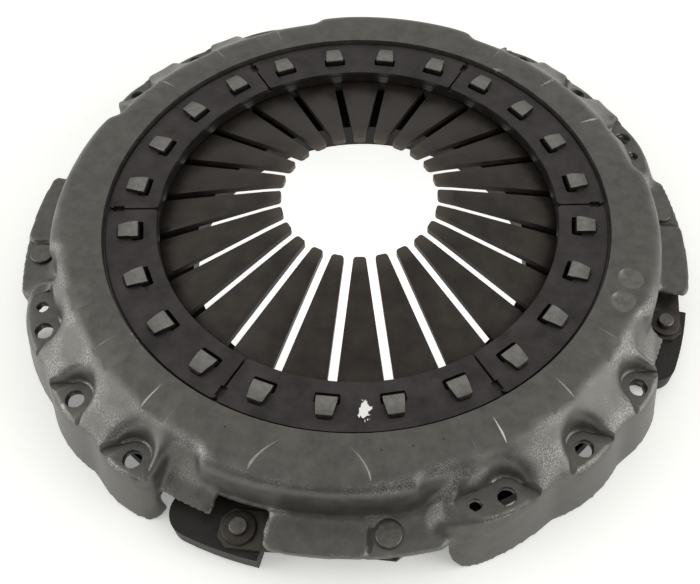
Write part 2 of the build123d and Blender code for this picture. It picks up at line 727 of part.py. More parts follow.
def strap_leaf(lift):
    """One leaf of the front strap, flat at its ends and sloping between them."""
    half = STRAP_R * sin(radians(STRAP_HALF_ANGLE))
    depth = STRAP_R * cos(radians(STRAP_HALF_ANGLE))
    low = RIM_Z + lift
    high = SEAT_UNDER_Z - STRAP_SHEET + lift
    with BuildPart() as leaf:
        with BuildSketch(Plane.XZ.offset(depth)):
            with BuildLine():
                Polyline(
                    (-half - STRAP_END, low),
                    (-half + STRAP_END, low),
                    (half - STRAP_END, high),
                    (half + STRAP_END, high),
                    (half + STRAP_END, high + LEAF),
                    (half - STRAP_END, high + LEAF),
                    (-half + STRAP_END, low + LEAF),
                    (-half - STRAP_END, low + LEAF),
                    close=True,
                )
            make_face()
        extrude(amount=STRAP_WIDTH / 2, both=True)
        chamfer(edges().filter_by(Axis.Z), STRAP_WIDTH / 4)
        with BuildSketch(Plane.XY):
            with Locations((-half, -depth), (half, -depth)):
                Circle(HOLE / 2)
        extrude(amount=CROWN_Z, mode=Mode.SUBTRACT)
    return leaf.part


leaves = [strap_leaf(layer * LEAF) for layer in range(LEAVES)]
for index in range(QUARTERS):
    name = f"drive_straps_{index + 1}"
    turned = [leaf.rotate(Axis.Z, index * PERIOD) for leaf in leaves]
    export_step(Compound(label=name, children=turned), f"parts/{name}.step")

with BuildPart() as cover_rivets:
    with BuildSketch(Plane.XY.offset(SEAT_Z)):
        with PolarLocations(STRAP_R, QUARTERS, start_angle=RIVET_ANGLE):
            Circle(COVER_HEAD / 2)
    extrude(amount=COVER_HEAD_HEIGHT)
    fillet(faces().sort_by(Axis.Z)[-QUARTERS:].edges(), COVER_HEAD_HEIGHT / 3)
    with BuildSketch(Plane.XY.offset(SEAT_Z)):
        with PolarLocations(STRAP_R, QUARTERS, start_angle=RIVET_ANGLE):
            Circle(SHANK / 2)
    extrude(amount=-SHEET - STRAP_SHEET)
    with BuildSketch(Plane.XY.offset(SEAT_UNDER_Z - STRAP_SHEET)):
        with PolarLocations(STRAP_R, QUARTERS, start_angle=RIVET_ANGLE):
            Circle(TAIL_HEAD / 2)
    extrude(amount=-TAIL_HEIGHT)
    fillet(faces().sort_by(Axis.Z)[:QUARTERS].edges(), TAIL_HEIGHT / 3)
cover_rivets.part.label = "cover_rivets"
export_step(cover_rivets.part, "parts/cover_rivets.step")

with BuildPart() as lug_washers:
    with BuildSketch(Plane.XY.offset(STRAP_TOP_Z)):
        with PolarLocations(STRAP_R, QUARTERS, start_angle=LUG_ANGLE):
            Circle(WASHER / 2)
            Circle(HOLE / 2, mode=Mode.SUBTRACT)
    extrude(amount=WASHER_SHEET)
    rims = faces().sort_by(Axis.Z)[-QUARTERS:].edges().filter_by(lambda edge: edge.radius > SHANK)
    chamfer(rims, WASHER_SHEET / 5)
lug_washers.part.label = "lug_washers"
export_step(lug_washers.part, "parts/lug_washers.step")

LUG_SEAT_Z = STRAP_TOP_Z + WASHER_SHEET
TAIL_SEAT_Z = LUG_LOW_Z + 2 * TAIL_HEIGHT
with BuildPart() as lug_rivets:
    with BuildSketch(Plane.XY.offset(LUG_SEAT_Z)):
        with PolarLocations(STRAP_R, QUARTERS, start_angle=LUG_ANGLE):
            Circle(LUG_HEAD / 2)
    extrude(amount=LUG_HEAD_HEIGHT)
    fillet(faces().sort_by(Axis.Z)[-QUARTERS:].edges(), LUG_HEAD_HEIGHT / 4)
    with BuildSketch(Plane.XY.offset(LUG_SEAT_Z)):
        with PolarLocations(STRAP_R, QUARTERS, start_angle=LUG_ANGLE):
            Circle(SHANK / 2)
    extrude(amount=TAIL_SEAT_Z - LUG_SEAT_Z)
    with BuildSketch(Plane.XY.offset(TAIL_SEAT_Z)):
        with PolarLocations(STRAP_R, QUARTERS, start_angle=LUG_ANGLE):
            Circle(TAIL_HEAD / 2)
    extrude(amount=-TAIL_HEIGHT)
    fillet(faces().sort_by(Axis.Z)[:QUARTERS].edges(), TAIL_HEIGHT / 3)
lug_rivets.part.label = "lug_rivets"
export_step(lug_rivets.part, "parts/lug_rivets.step")
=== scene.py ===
# %% [markdown]
# # A truck clutch cover assembly, dressed for its portrait
#
# The solids come from the CAD frame, in metres and in their real places. This script gives them their
# surfaces, models the pieces that CAD leaves plain, and sets a camera, a floor and soft studio light.

# %% Load the frame
import math

import bpy
import numpy as np
from mathutils import Matrix, Vector


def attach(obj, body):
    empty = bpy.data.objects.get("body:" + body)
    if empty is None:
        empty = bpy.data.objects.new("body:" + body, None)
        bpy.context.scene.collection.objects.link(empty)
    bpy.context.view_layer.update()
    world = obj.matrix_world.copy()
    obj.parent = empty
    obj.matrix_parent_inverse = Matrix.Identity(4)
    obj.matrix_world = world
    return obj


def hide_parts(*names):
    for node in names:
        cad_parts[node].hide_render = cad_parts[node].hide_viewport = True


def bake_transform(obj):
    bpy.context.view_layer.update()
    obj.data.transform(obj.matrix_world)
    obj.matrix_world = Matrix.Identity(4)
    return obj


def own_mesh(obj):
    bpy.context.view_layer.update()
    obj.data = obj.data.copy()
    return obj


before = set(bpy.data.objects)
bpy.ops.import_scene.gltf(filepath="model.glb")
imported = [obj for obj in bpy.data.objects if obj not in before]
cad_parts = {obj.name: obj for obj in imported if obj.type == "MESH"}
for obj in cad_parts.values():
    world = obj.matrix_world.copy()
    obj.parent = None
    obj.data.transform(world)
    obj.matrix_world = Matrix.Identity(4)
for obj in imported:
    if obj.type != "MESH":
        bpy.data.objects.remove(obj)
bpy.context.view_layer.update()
MM = 0.001

# %% [markdown]
# ## Camera
#
# The viewpoint was solved from the even ring of hooks: a camera about 0.7 m away, 55 degrees above the
# floor. It could be placed by eye, but a solved one lets every later comparison be made point by point.
# The picture is shifted sideways because the photograph was cropped off centre.

# %% Camera
VIEW_TURN = math.radians(2.7)
VIEW_ELEVATION = math.radians(55.107)
VIEW_ROLL = math.radians(3.1025)
VIEW_FROM = Vector((43.757, -393.71, 525.62)) * MM
FOCAL_PIXELS = 855.11
PICTURE_WIDTH = 700
OFF_CENTRE_X = 67.42
OFF_CENTRE_Y = 1.48

camera_data = bpy.data.cameras.new("photo_camera")
camera = bpy.data.objects.new("photo_camera", camera_data)
bpy.context.scene.collection.objects.link(camera)
camera_data.sensor_width = 36.0
camera_data.lens = FOCAL_PIXELS / PICTURE_WIDTH * camera_data.sensor_width
camera_data.shift_x = -OFF_CENTRE_X / PICTURE_WIDTH
camera_data.shift_y = OFF_CENTRE_Y / PICTURE_WIDTH
camera_data.clip_start = 0.01
tilt = Matrix.Rotation(math.pi / 2 - VIEW_ELEVATION, 4, "X")
turn = Matrix.Rotation(VIEW_TURN, 4, "Z")
roll = Matrix.Rotation(VIEW_ROLL, 4, "Z")
camera.matrix_world = turn @ Matrix.Translation(VIEW_FROM) @ tilt @ roll
bpy.context.scene.camera = camera
camera_place = [round(v, 3) for v in camera.matrix_world.translation]
print("camera at", camera_place, "with lens", round(camera_data.lens, 2))

# %% [markdown]
# ## Helpers for colours and shader nodes
#
# Colours are read as sRGB hex values, and shaders want linear light, so one function converts
# them. Another adds a shader node together with its settings and its incoming links, which keeps each
# material below short enough to read as a recipe.

# %% Helpers
def linear(hex_colour):
    """sRGB hex to a linear RGBA tuple."""
    channels = [int(hex_colour[i:i + 2], 16) / 255 for i in (1, 3, 5)]
    lit = [c / 12.92 if c <= 0.04045 else ((c + 0.055) / 1.055) ** 2.4 for c in channels]
    return (*lit, 1.0)


def node(tree, kind, settings=None, **links):
    """Add a shader node: settings are attributes, ramp stops or input values, links are sockets.

    An input that shares its name with another goes by number: 1 in settings, _1 among the links.
    """
    made = tree.nodes.new(kind)
    for name, value in (settings or {}).items():
        if name == "stops":
            while len(made.color_ramp.elements) < len(value):
                made.color_ramp.elements.new(0.5)
            for element, (position, colour) in zip(made.color_ramp.elements, value):
                element.position = position
                element.color = linear(colour)
        elif isinstance(name, str) and hasattr(made, name):
            setattr(made, name, value)
        else:
            made.inputs[name].default_value = value
    for name, socket in links.items():
        into = int(name[1:]) if name[1:].isdigit() else name.replace("_", " ")
        tree.links.new(socket, made.inputs[into])
    return made


def feed(tree, name, socket):
    """Link a socket to an input of the surface's main shader."""
    tree.links.new(socket, tree.nodes["Principled BSDF"].inputs[name])


print("mid grey in linear light:", round(linear("#808080")[0], 3))

# %% [markdown]
# ## Floor and light
#
# Reflections on the photographed part tell where its light came from: bright soft boxes low on the left
# and on the right, an even grey overhead and behind, and darkness on the camera's side. The sky is a
# gradient that gives the greys, and two large panels give the sides. The floor is white, with a
# little glow of its own under the bore, which the part would otherwise keep in shade.

# %% Floor
FLOOR_SIZE = 12.0
FLOOR_DROP = 0.0002
GLOW_BORE, GLOW_OPEN = 0.9, 0.28
GLOW_FROM, GLOW_TO = 130 * MM, 210 * MM


def deselect():
    """Nothing selected, so that the next operator acts on its own piece alone."""
    if bpy.context.mode != "OBJECT":
        bpy.ops.object.mode_set(mode="OBJECT")
    bpy.ops.object.select_all(action="DESELECT")


deselect()
bpy.ops.mesh.primitive_plane_add(size=FLOOR_SIZE, location=(0, 0, -FLOOR_DROP))
floor = bpy.context.object
floor.name = "studio_floor"
# Matt white paint: no reflection to distract, only soft shade.
floor_paint = bpy.data.materials.new("matt_white_floor")
floor_paint.use_nodes = True
floor_tree = floor_paint.node_tree
floor_shader = floor_tree.nodes["Principled BSDF"]
floor_shader.inputs["Base Color"].default_value = linear("#f4f4f1")
floor_shader.inputs["Roughness"].default_value = 0.9
floor_shader.inputs["Emission Color"].default_value = linear("#fdfdfb")
floor_place = node(floor_tree, "ShaderNodeTexCoord").outputs["Object"]
floor_reach = node(floor_tree, "ShaderNodeVectorMath", {"operation": "LENGTH"}, Vector=floor_place)
floor_glow = node(floor_tree, "ShaderNodeMapRange",
                  {"From Min": GLOW_FROM, "From Max": GLOW_TO, "To Min": GLOW_BORE, "To Max": GLOW_OPEN},
                  Value=floor_reach.outputs["Value"])
feed(floor_tree, "Emission Strength", floor_glow.outputs["Result"])
floor.data.materials.append(floor_paint)
print("floor", FLOOR_SIZE, "m wide")

# %% Sky and panels
world = bpy.data.worlds.new("studio_sky")
bpy.context.scene.world = world
world.use_nodes = True
sky_tree = world.node_tree
sky_way = node(sky_tree, "ShaderNodeSeparateXYZ",
               Vector=node(sky_tree, "ShaderNodeTexCoord").outputs["Generated"])
sky_front = node(sky_tree, "ShaderNodeMapRange", {"From Min": -0.1, "From Max": -0.75},
                 Value=sky_way.outputs["Y"])
sky_tone = node(sky_tree, "ShaderNodeValToRGB", {"stops": [(0.0, "#e0e0dd"), (1.0, "#868683")]},
                Fac=sky_front.outputs["Result"])
sky_tree.links.new(sky_tone.outputs["Color"], sky_tree.nodes["Background"].inputs["Color"])


def soft_panel(name, place, aim, size, watts):
    """Square area light that faces a point."""
    data = bpy.data.lights.new(name, "AREA")
    data.size = size
    data.energy = watts
    lamp = bpy.data.objects.new(name, data)
    bpy.context.scene.collection.objects.link(lamp)
    lamp.location = place
    lamp.rotation_euler = (Vector(aim) - Vector(place)).to_track_quat("-Z", "Y").to_euler()


PANEL_AIM = (0, 0, 0.03)
PANEL_WATTS = 9.0
soft_panel("panel_left", (-1.25, -0.3, 0.55), PANEL_AIM, 1.2, PANEL_WATTS)
soft_panel("panel_right", (1.25, -0.25, 0.6), PANEL_AIM, 1.1, PANEL_WATTS)
bpy.context.scene.view_settings.view_transform = "Standard"
print("sky and", len(bpy.data.lights), "panels")

# %% [markdown]
# ## Surfaces
#
# Every material here is steel or iron, told apart by how its surface was left. Patterns are worked out in
# millimetres on object coordinates, so their grain keeps its size on each piece. Building each one from
# nothing would repeat the same nodes again and again, so a shared recipe makes mottled colour, uneven
# gloss and a fine raised grain, and what is special to one metal is added after it.

# %% Shared surface recipe
# Real grain is too fine to show from here, so it is drawn as coarse as it needs: a sixth of the mottle.
FINE_GRAIN = 6
GRAIN_HEIGHT = 0.4 * MM


def metal(name, dark, light, grain_mm, roughness, spread, bump, metallic):
    """Metal with mottled colour, uneven gloss and raised grain; gives material, tree, place and tint."""
    material = bpy.data.materials.new(name)
    material.use_nodes = True
    tree = material.node_tree
    place = node(tree, "ShaderNodeTexCoord").outputs["Object"]
    mottle = node(tree, "ShaderNodeTexNoise",
                  {"Scale": 1 / (grain_mm * MM), "Detail": 6.0, "Roughness": 0.62},
                  Vector=place).outputs["Fac"]
    tint = node(tree, "ShaderNodeValToRGB", {"stops": [(0.3, dark), (0.7, light)]}, Fac=mottle)
    gloss = node(tree, "ShaderNodeMapRange",
                 {"From Min": 0.3, "From Max": 0.7,
                  "To Min": roughness - spread, "To Max": roughness + spread}, Value=mottle)
    fine = node(tree, "ShaderNodeTexNoise", {"Scale": FINE_GRAIN / (grain_mm * MM), "Detail": 3.0},
                Vector=place)
    relief = node(tree, "ShaderNodeBump", {"Strength": bump, "Distance": GRAIN_HEIGHT},
                  Height=fine.outputs["Fac"])
    tree.nodes["Principled BSDF"].inputs["Metallic"].default_value = metallic
    feed(tree, "Base Color", tint.outputs["Color"])
    feed(tree, "Roughness", gloss.outputs["Result"])
    feed(tree, "Normal", relief.outputs["Normal"])
    return material, tree, place, tint.outputs["Color"]


# %% Plain steels and the iron
# The fulcrum rings: drawn wire, smooth and grey, mostly hidden.
ring_wire = metal("drawn_wire_steel", "#5b5953", "#77756f", 5.0, 0.4, 0.06, 0.15, 0.85)[0]
# The drive straps: rolled spring strip, oiled dark.
strap_steel = metal("rolled_strap_steel", "#3f3b37", "#524d48", 8.0, 0.42, 0.08, 0.15, 0.7)[0]
# The rivets: headed cold from wire, dull grey with a lighter burnish.
rivet_steel = metal("headed_rivet_steel", "#55524e", "#73706b", 3.0, 0.42, 0.08, 0.25, 0.8)[0]
# The washers: stamped and blackened, a dark collar round each rivet.
washer_steel = metal("stamped_washer_steel", "#383430", "#4b4641", 4.0, 0.45, 0.08, 0.2, 0.7)[0]
# The pressure plate: sand-cast grey iron under a dark dip, rough and matt.
grey_iron = metal("cast_grey_iron", "#1f1d1b", "#2f2b28", 6.0, 0.58, 0.08, 0.6, 0.4)[0]
# Pierced steel, bare where the dark coat is cut through; the same light colour is also a painted
# highlight on the walls of the seats, the relief and the front and left flat strips: a bright line.
bare_and_lit_steel = metal("bare_steel_and_painted_highlight", "#8c8b85", "#acaba5", 3.0, 0.38, 0.06, 0.2, 0.85)[0]
# Steel left by the balancing drill, smoother and glossier than the coat round it.
drilled_steel = metal("drilled_steel", "#605f5a", "#7b7a75", 5.0, 0.28, 0.05, 0.1, 0.85)[0]
plain_metals = (ring_wire, strap_steel, rivet_steel, washer_steel, grey_iron, bare_and_lit_steel, drilled_steel)
print("plain metals:", [material.name for material in plain_metals])

# %% [markdown]
# ### The hooks' bright strip
#
# The hooks are cold-bent strip, tumbled clean: the palest metal on the part. Painted shade darkens the
# tone towards the end of the tab, where the strip bends down, and darkens every face that does not face
# up, the sheared ends and sides. Distance from the axis gives the fall in tone and the direction of a
# face gives the side shade, so no face has to be picked.

# %% Tumbled strip
TAB_LIT, TAB_DULL = 158 * MM, 165 * MM


def off_axis(tree, place):
    """Distance of the shaded point from the part's axis."""
    plan = node(tree, "ShaderNodeVectorMath", {"operation": "MULTIPLY", 1: (1, 1, 0)}, _0=place)
    reach = node(tree, "ShaderNodeVectorMath", {"operation": "LENGTH"}, Vector=plan.outputs["Vector"])
    return reach.outputs["Value"]


bright_strip, strip_tree, strip_place, strip_tint = metal(
    "tumbled_bent_strip_steel", "#6f6e6a", "#888782", 4.0, 0.45, 0.07, 0.3, 0.8)
# Painted shade: the tone falls off towards the end of the tab, where the strip bends down.
strip_shade_fall = node(strip_tree, "ShaderNodeMapRange",
                  {"From Min": TAB_LIT, "From Max": TAB_DULL, "To Max": 0.4},
                  Value=off_axis(strip_tree, strip_place))
strip_shade = node(strip_tree, "ShaderNodeMixRGB", {"Color2": linear("#484643")},
                   Fac=strip_shade_fall.outputs["Result"], Color1=strip_tint)
# Painted shade: faces that do not face up, the sheared ends and sides, are darkened.
strip_form = node(strip_tree, "ShaderNodeNewGeometry")
strip_up = node(strip_tree, "ShaderNodeSeparateXYZ", Vector=strip_form.outputs["Normal"])
strip_side_shade = node(strip_tree, "ShaderNodeMapRange", {"From Min": 0.85, "From Max": 0.6, "To Max": 0.9},
                     Value=strip_up.outputs["Z"])
strip_shaded_sides = node(strip_tree, "ShaderNodeMixRGB", {"Color2": linear("#262422")},
                   Fac=strip_side_shade.outputs["Result"], Color1=strip_shade.outputs["Color"])
feed(strip_tree, "Base Color", strip_shaded_sides.outputs["Color"])
print(bright_strip.name, "has", len(strip_tree.nodes), "nodes")

# %% [markdown]
# ### The cover's coat
#
# Drawn steel is phosphated dark grey. Where the sheet was stretched over a ridge its surface breaks up
# into a fine grain, whose glints are painted into the colour as a lighter sparkle on sloped faces, and
# convex edges take a painted highlight that is partly edge wear. The slope of the surface places the
# painted sparkle and the mesh's own pointiness finds the edges, so neither has to be picked. Under the
# segments the coat is darkened with painted shade, where the land lies in the shade between the parts.

# %% Phosphated coat and its painted sparkle
# Phosphate crystals are too fine to show, so the sparkle is drawn as coarse as it needs.
SPARKLE_MM = 0.8
PATCH_MM = 26.0
GLINT_SLOPES = [(0.3, "#000000"), (0.5, "#ffffff"), (0.9, "#ffffff"), (0.985, "#1c1c1c")]

phosphated_steel, coat_tree, coat_place, coat_tint = metal(
    "phosphated_pressed_steel", "#53524e", "#676561", 9.0, 0.43, 0.06, 0.2, 0.7)
coat_form = node(coat_tree, "ShaderNodeNewGeometry")
coat_up = node(coat_tree, "ShaderNodeSeparateXYZ", Vector=coat_form.outputs["Normal"])
# Painted highlight: a lighter speckle on sloped faces, where the stretched sheet's grain catches the
# light.
coat_slope = node(coat_tree, "ShaderNodeValToRGB", {"stops": GLINT_SLOPES}, Fac=coat_up.outputs["Z"])
coat_grain = node(coat_tree, "ShaderNodeTexNoise", {"Scale": 1 / (SPARKLE_MM * MM), "Detail": 1.0},
                  Vector=coat_place)
coat_spark = node(coat_tree, "ShaderNodeMapRange", {"From Min": 0.42, "From Max": 0.66},
                  Value=coat_grain.outputs["Fac"])
coat_patch = node(coat_tree, "ShaderNodeTexNoise", {"Scale": 1 / (PATCH_MM * MM), "Detail": 1.0},
                  Vector=coat_place)
coat_glint_patches = node(coat_tree, "ShaderNodeMapRange",
                    {"From Min": 0.42, "From Max": 0.6, "To Min": 0.06, "To Max": 0.8},
                    Value=coat_patch.outputs["Fac"])
coat_glints = node(coat_tree, "ShaderNodeMath", {"operation": "MULTIPLY"},
                  _0=coat_spark.outputs["Result"], _1=coat_glint_patches.outputs["Result"])
coat_where = node(coat_tree, "ShaderNodeMath", {"operation": "MULTIPLY"},
                  _0=coat_glints.outputs["Value"], _1=coat_slope.outputs["Color"])
coat_glint_speckle = node(coat_tree, "ShaderNodeMixRGB", {"Color2": linear("#9a9795")},
                     Fac=coat_where.outputs["Value"], Color1=coat_tint)
print("sparkle", SPARKLE_MM, "mm in patches of", PATCH_MM, "mm")

# %% Painted edge highlights and painted shade on the land
LAND_EDGE = 175.8 * MM
LAND_BLUR = 0.3 * MM
# Painted highlight, partly edge wear: convex edges, found by pointiness, are lightened.
coat_edge_highlight_and_wear = node(coat_tree, "ShaderNodeMapRange", {"From Min": 0.53, "From Max": 0.6, "To Max": 0.8},
                 Value=coat_form.outputs["Pointiness"])
coat_worn_and_lit = node(coat_tree, "ShaderNodeMixRGB", {"Color2": linear("#99988f")},
                 Fac=coat_edge_highlight_and_wear.outputs["Result"], Color1=coat_glint_speckle.outputs["Color"])
# Painted shade: the land under the segments, seen in the gaps between them, is darkened.
coat_land_shade = node(coat_tree, "ShaderNodeMapRange",
                   {"From Min": LAND_EDGE + LAND_BLUR, "From Max": LAND_EDGE - LAND_BLUR, "To Max": 0.85},
                   Value=off_axis(coat_tree, coat_place))
coat_shaded_land = node(coat_tree, "ShaderNodeMixRGB", {"Color2": linear("#2b2724")},
                  Fac=coat_land_shade.outputs["Result"], Color1=coat_worn_and_lit.outputs["Color"])
feed(coat_tree, "Base Color", coat_shaded_land.outputs["Color"])
print(phosphated_steel.name, "has", len(coat_tree.nodes), "nodes")

# %% [markdown]
# ### Spring and segments
#
# The diaphragm spring is hardened and oil-blackened, with a browner, bearing-rubbed ring at its finger
# tips. The preload segments are stamped from browned strip. One of them carries a dab of white paint, an
# inspector's mark; a ragged blot in the colour is enough for it, because paint has no thickness here.

# %% Blackened spring
RUB_START, RUB_FULL = 100 * MM, 92.5 * MM
blackened_spring, spring_tree, spring_place, spring_tint = metal(
    "oil_blackened_spring_steel", "#2b2623", "#3d3732", 14.0, 0.42, 0.06, 0.15, 0.65)
spring_reach = node(spring_tree, "ShaderNodeVectorMath", {"operation": "LENGTH"}, Vector=spring_place)
spring_rubbed = node(spring_tree, "ShaderNodeMapRange",
                     {"From Min": RUB_START, "From Max": RUB_FULL, "To Max": 0.4},
                     Value=spring_reach.outputs["Value"])
spring_worn = node(spring_tree, "ShaderNodeMixRGB", {"Color2": linear("#7a6f64")},
                   Fac=spring_rubbed.outputs["Result"], Color1=spring_tint)
feed(spring_tree, "Base Color", spring_worn.outputs["Color"])
print(blackened_spring.name, "has", len(spring_tree.nodes), "nodes")

# %% Browned segments and the dab of paint
SEGMENT_METALLIC = 0.6
DAB_AT = Vector((23.6, -158.4, 64.5)) * MM
DAB_REACH = Vector((3.6, 6.6, 4.0)) * MM
BRISTLE_MM = 2.4
RAGGEDNESS = 2.2

browned_steel, brown_tree, brown_place, brown_tint = metal(
    "browned_stamped_steel", "#2b2728", "#463f40", 15.0, 0.44, 0.08, 0.25, SEGMENT_METALLIC)
dab_off = node(brown_tree, "ShaderNodeVectorMath", {"operation": "SUBTRACT", 1: DAB_AT}, _0=brown_place)
dab_scaled = node(brown_tree, "ShaderNodeVectorMath", {"operation": "DIVIDE", 1: DAB_REACH},
                  _0=dab_off.outputs["Vector"])
dab_span = node(brown_tree, "ShaderNodeVectorMath", {"operation": "LENGTH"},
                Vector=dab_scaled.outputs["Vector"])
dab_rag = node(brown_tree, "ShaderNodeTexNoise", {"Scale": 1 / (BRISTLE_MM * MM), "Detail": 2.0},
               Vector=brown_place)
dab_edge = node(brown_tree, "ShaderNodeMath", {"operation": "MULTIPLY_ADD", 1: RAGGEDNESS},
                _0=dab_rag.outputs["Fac"], _2=dab_span.outputs["Value"])
dab_mask = node(brown_tree, "ShaderNodeMapRange", {"From Min": 2.05, "From Max": 1.9},
                Value=dab_edge.outputs["Value"])
dab_paint = node(brown_tree, "ShaderNodeMixRGB", {"Color2": linear("#f2f1ec")},
                 Fac=dab_mask.outputs["Result"], Color1=brown_tint)
dab_metal = node(brown_tree, "ShaderNodeMapRange", {"To Min": SEGMENT_METALLIC, "To Max": 0.0},
                 Value=dab_mask.outputs["Result"])
feed(brown_tree, "Base Color", dab_paint.outputs["Color"])
feed(brown_tree, "Metallic", dab_metal.outputs["Result"])
print(browned_steel.name, "has", len(brown_tree.nodes), "nodes")

# %% [markdown]
# ### Who wears what
#
# Solids of one kind are numbered, so a name without its number finds the material. The pieces made later
# are copies of these solids and keep what they wear.

# %% Give every solid its surface
wear = {
    "cover": phosphated_steel, "diaphragm_spring": blackened_spring, "preload_segment": browned_steel,
    "retaining_hooks": bright_strip, "upper_fulcrum_ring": ring_wire, "lower_fulcrum_ring": ring_wire,
    "drive_straps": strap_steel, "cover_rivets": rivet_steel, "lug_rivets": rivet_steel,
    "lug_washers": washer_steel, "pressure_plate": grey_iron,
}
for name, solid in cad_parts.items():
    solid.data.materials.clear()
    solid.data.materials.append(wear[name if name in wear else name.rsplit("_", 1)[0]])
print("surfaces given to", len(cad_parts), "solids")

# %% [markdown]
# ## The cover pressing
#
# The real cover is one deep-drawn sheet: every ridge, pad and groove flows into the next, with no sharp
# crease except where the sheet was sheared. The CAD solid has the right places and heights but hard
# edges, and rounding each one by hand would never let three forms melt together at a corner. So a copy
# of the solid is turned into an even skin and relaxed, the way drawn metal is, everywhere but at its
# sheared edges, its holes and the flat land under the spring segments.

# %% Tools for working on a copy
MERGE_WITHIN = 0.01 * MM


def copy_solid(source, name):
    """A merged copy of one CAD solid's mesh, free to be worked on."""
    deselect()
    piece = source.copy()
    piece.data = source.data.copy()
    piece.name = name
    piece.parent = None
    bpy.context.scene.collection.objects.link(piece)
    piece.select_set(True)
    bpy.context.view_layer.objects.active = piece
    bpy.ops.object.mode_set(mode="EDIT")
    bpy.ops.mesh.select_all(action="SELECT")
    bpy.ops.mesh.remove_doubles(threshold=MERGE_WITHIN)
    bpy.ops.object.mode_set(mode="OBJECT")
    return piece


def apply(piece, kind, **settings):
    """Add one modifier and apply it at once."""
    bpy.context.view_layer.objects.active = piece
    made = piece.modifiers.new("step", kind)
    for name, value in settings.items():
        setattr(made, name, value)
    bpy.ops.object.modifier_apply(modifier=made.name)


# %% Even skin
SKIN_PITCH = 1.5 * MM
pressing = copy_solid(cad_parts["cover"], "cover_pressing")
apply(pressing, "REMESH", mode="VOXEL", voxel_size=SKIN_PITCH)
print("even skin:", len(pressing.data.polygons), "faces")

# %% [markdown]
# ### Where the sheet may relax
#
# The cover repeats four times, so every point is looked at as if it lay in the front quarter, which runs
# from the apron past the lug's gap and the strap bridge to the skirt. Each weight fades from held, at a
# sheared edge or a hole, to free. A smoothing modifier takes such weights from a vertex group.

# %% Weights over the quarter
QUARTER_START = -115
LEVELS = 20
HALF_WAY = 0.5


def fade(value, low, high):
    """Smooth step from 0 at low to 1 at high."""
    t = np.clip((value - low) / (high - low), 0, 1)
    return t * t * (3 - 2 * t)


def polar(piece):
    """Vertex places as radius, angle inside the front quarter and height, in millimetres and degrees."""
    flat = np.empty(len(piece.data.vertices) * 3)
    piece.data.vertices.foreach_get("co", flat)
    x, y, z = flat.reshape(-1, 3).T / MM
    angle = np.degrees(np.arctan2(y, x))
    return np.hypot(x, y), (angle - QUARTER_START) % 90 + QUARTER_START, z


def relax(piece, weights, steps):
    """Smooth a piece by a weight at each vertex, written in even levels."""
    group = piece.vertex_groups.new(name="relaxed")
    levels = np.round(weights * LEVELS).astype(int)
    for level in range(1, LEVELS + 1):
        members = np.nonzero(levels == level)[0].tolist()
        if members:
            group.add(members, level / LEVELS, "REPLACE")
    apply(piece, "SMOOTH", factor=HALF_WAY, iterations=steps, vertex_group="relaxed")
    piece.vertex_groups.clear()


# %% Hold the sheared edges
APRON_END, GAP_END, BRIDGE_END = -106, -97, -71
LAND_FREE, APRON_FREE, SKIRT_FREE = (177, 183), (27, 33), (1, 8)
GAP_HELD, BRIDGE_HELD = (211, 216), (231, 237)

radius, angle, height = polar(pressing)
at_gap = (angle > APRON_END) & (angle < GAP_END)
on_bridge = (angle > GAP_END) & (angle < BRIDGE_END)
soft = fade(radius, *LAND_FREE)
soft *= np.where(angle > BRIDGE_END, fade(height, *SKIRT_FREE), 1)
soft *= np.where(angle < APRON_END, fade(height, *APRON_FREE), 1)
soft *= np.where(at_gap, 1 - fade(radius, *GAP_HELD), 1)
soft *= np.where(on_bridge, 1 - fade(radius, *BRIDGE_HELD), 1)
print("free share at the edges:", round(float(soft.mean()), 3))

# %% Hold the holes and pads, then relax
BOLT_R = 225
BOLT_ANGLES = (-60, -45, -30)
BOLT_KEEP, PAD_REACH = 6, 17
DOWEL_R, DOWEL_ANGLE = 223, -65
DOWEL_KEEP, DOWEL_PAD_REACH = 4, 9
HOLE_FADE = 4
PAD_TOP = 43.5
PAD_BAND = (1.5, 4)
PAD_HOLD = 0.85
DRAW_STEPS = 40

pad = 1 - fade(np.abs(height - PAD_TOP), *PAD_BAND)
holes = [(BOLT_R, bolt, BOLT_KEEP, PAD_REACH) for bolt in BOLT_ANGLES]
holes.append((DOWEL_R, DOWEL_ANGLE, DOWEL_KEEP, DOWEL_PAD_REACH))
for hole_radius, hole_angle, keep, reach in holes:
    swing = np.radians(angle - hole_angle)
    off = np.hypot(radius * np.cos(swing) - hole_radius, radius * np.sin(swing))
    near = 1 - fade(off, reach, reach + HOLE_FADE)
    soft *= fade(off, keep, keep + HOLE_FADE) * (1 - PAD_HOLD * pad * near)
relax(pressing, soft, DRAW_STEPS)
print("free share with the holes held:", round(float(soft.mean()), 3))

# %% Melt the ridges into the crown
# A second pass works only on the high slopes, and leaves out the sheet beside the straps.
MELT_STEPS = 40
MELT_HEIGHT, MELT_RADIUS = (47, 52), (186, 194)
STRAP_FROM, STRAP_TO = (-108, -103), (-80, -75)
SKIN_LIMIT = 176000

radius, angle, height = polar(pressing)
beside_strap = fade(angle, *STRAP_FROM) * (1 - fade(angle, *STRAP_TO))
relax(pressing, fade(height, *MELT_HEIGHT) * fade(radius, *MELT_RADIUS) * (1 - beside_strap), MELT_STEPS)
apply(pressing, "SMOOTH", factor=HALF_WAY, iterations=2)
apply(pressing, "DECIMATE", ratio=min(1.0, SKIN_LIMIT / (2 * len(pressing.data.polygons))))
print("cover skin:", len(pressing.data.polygons), "faces")

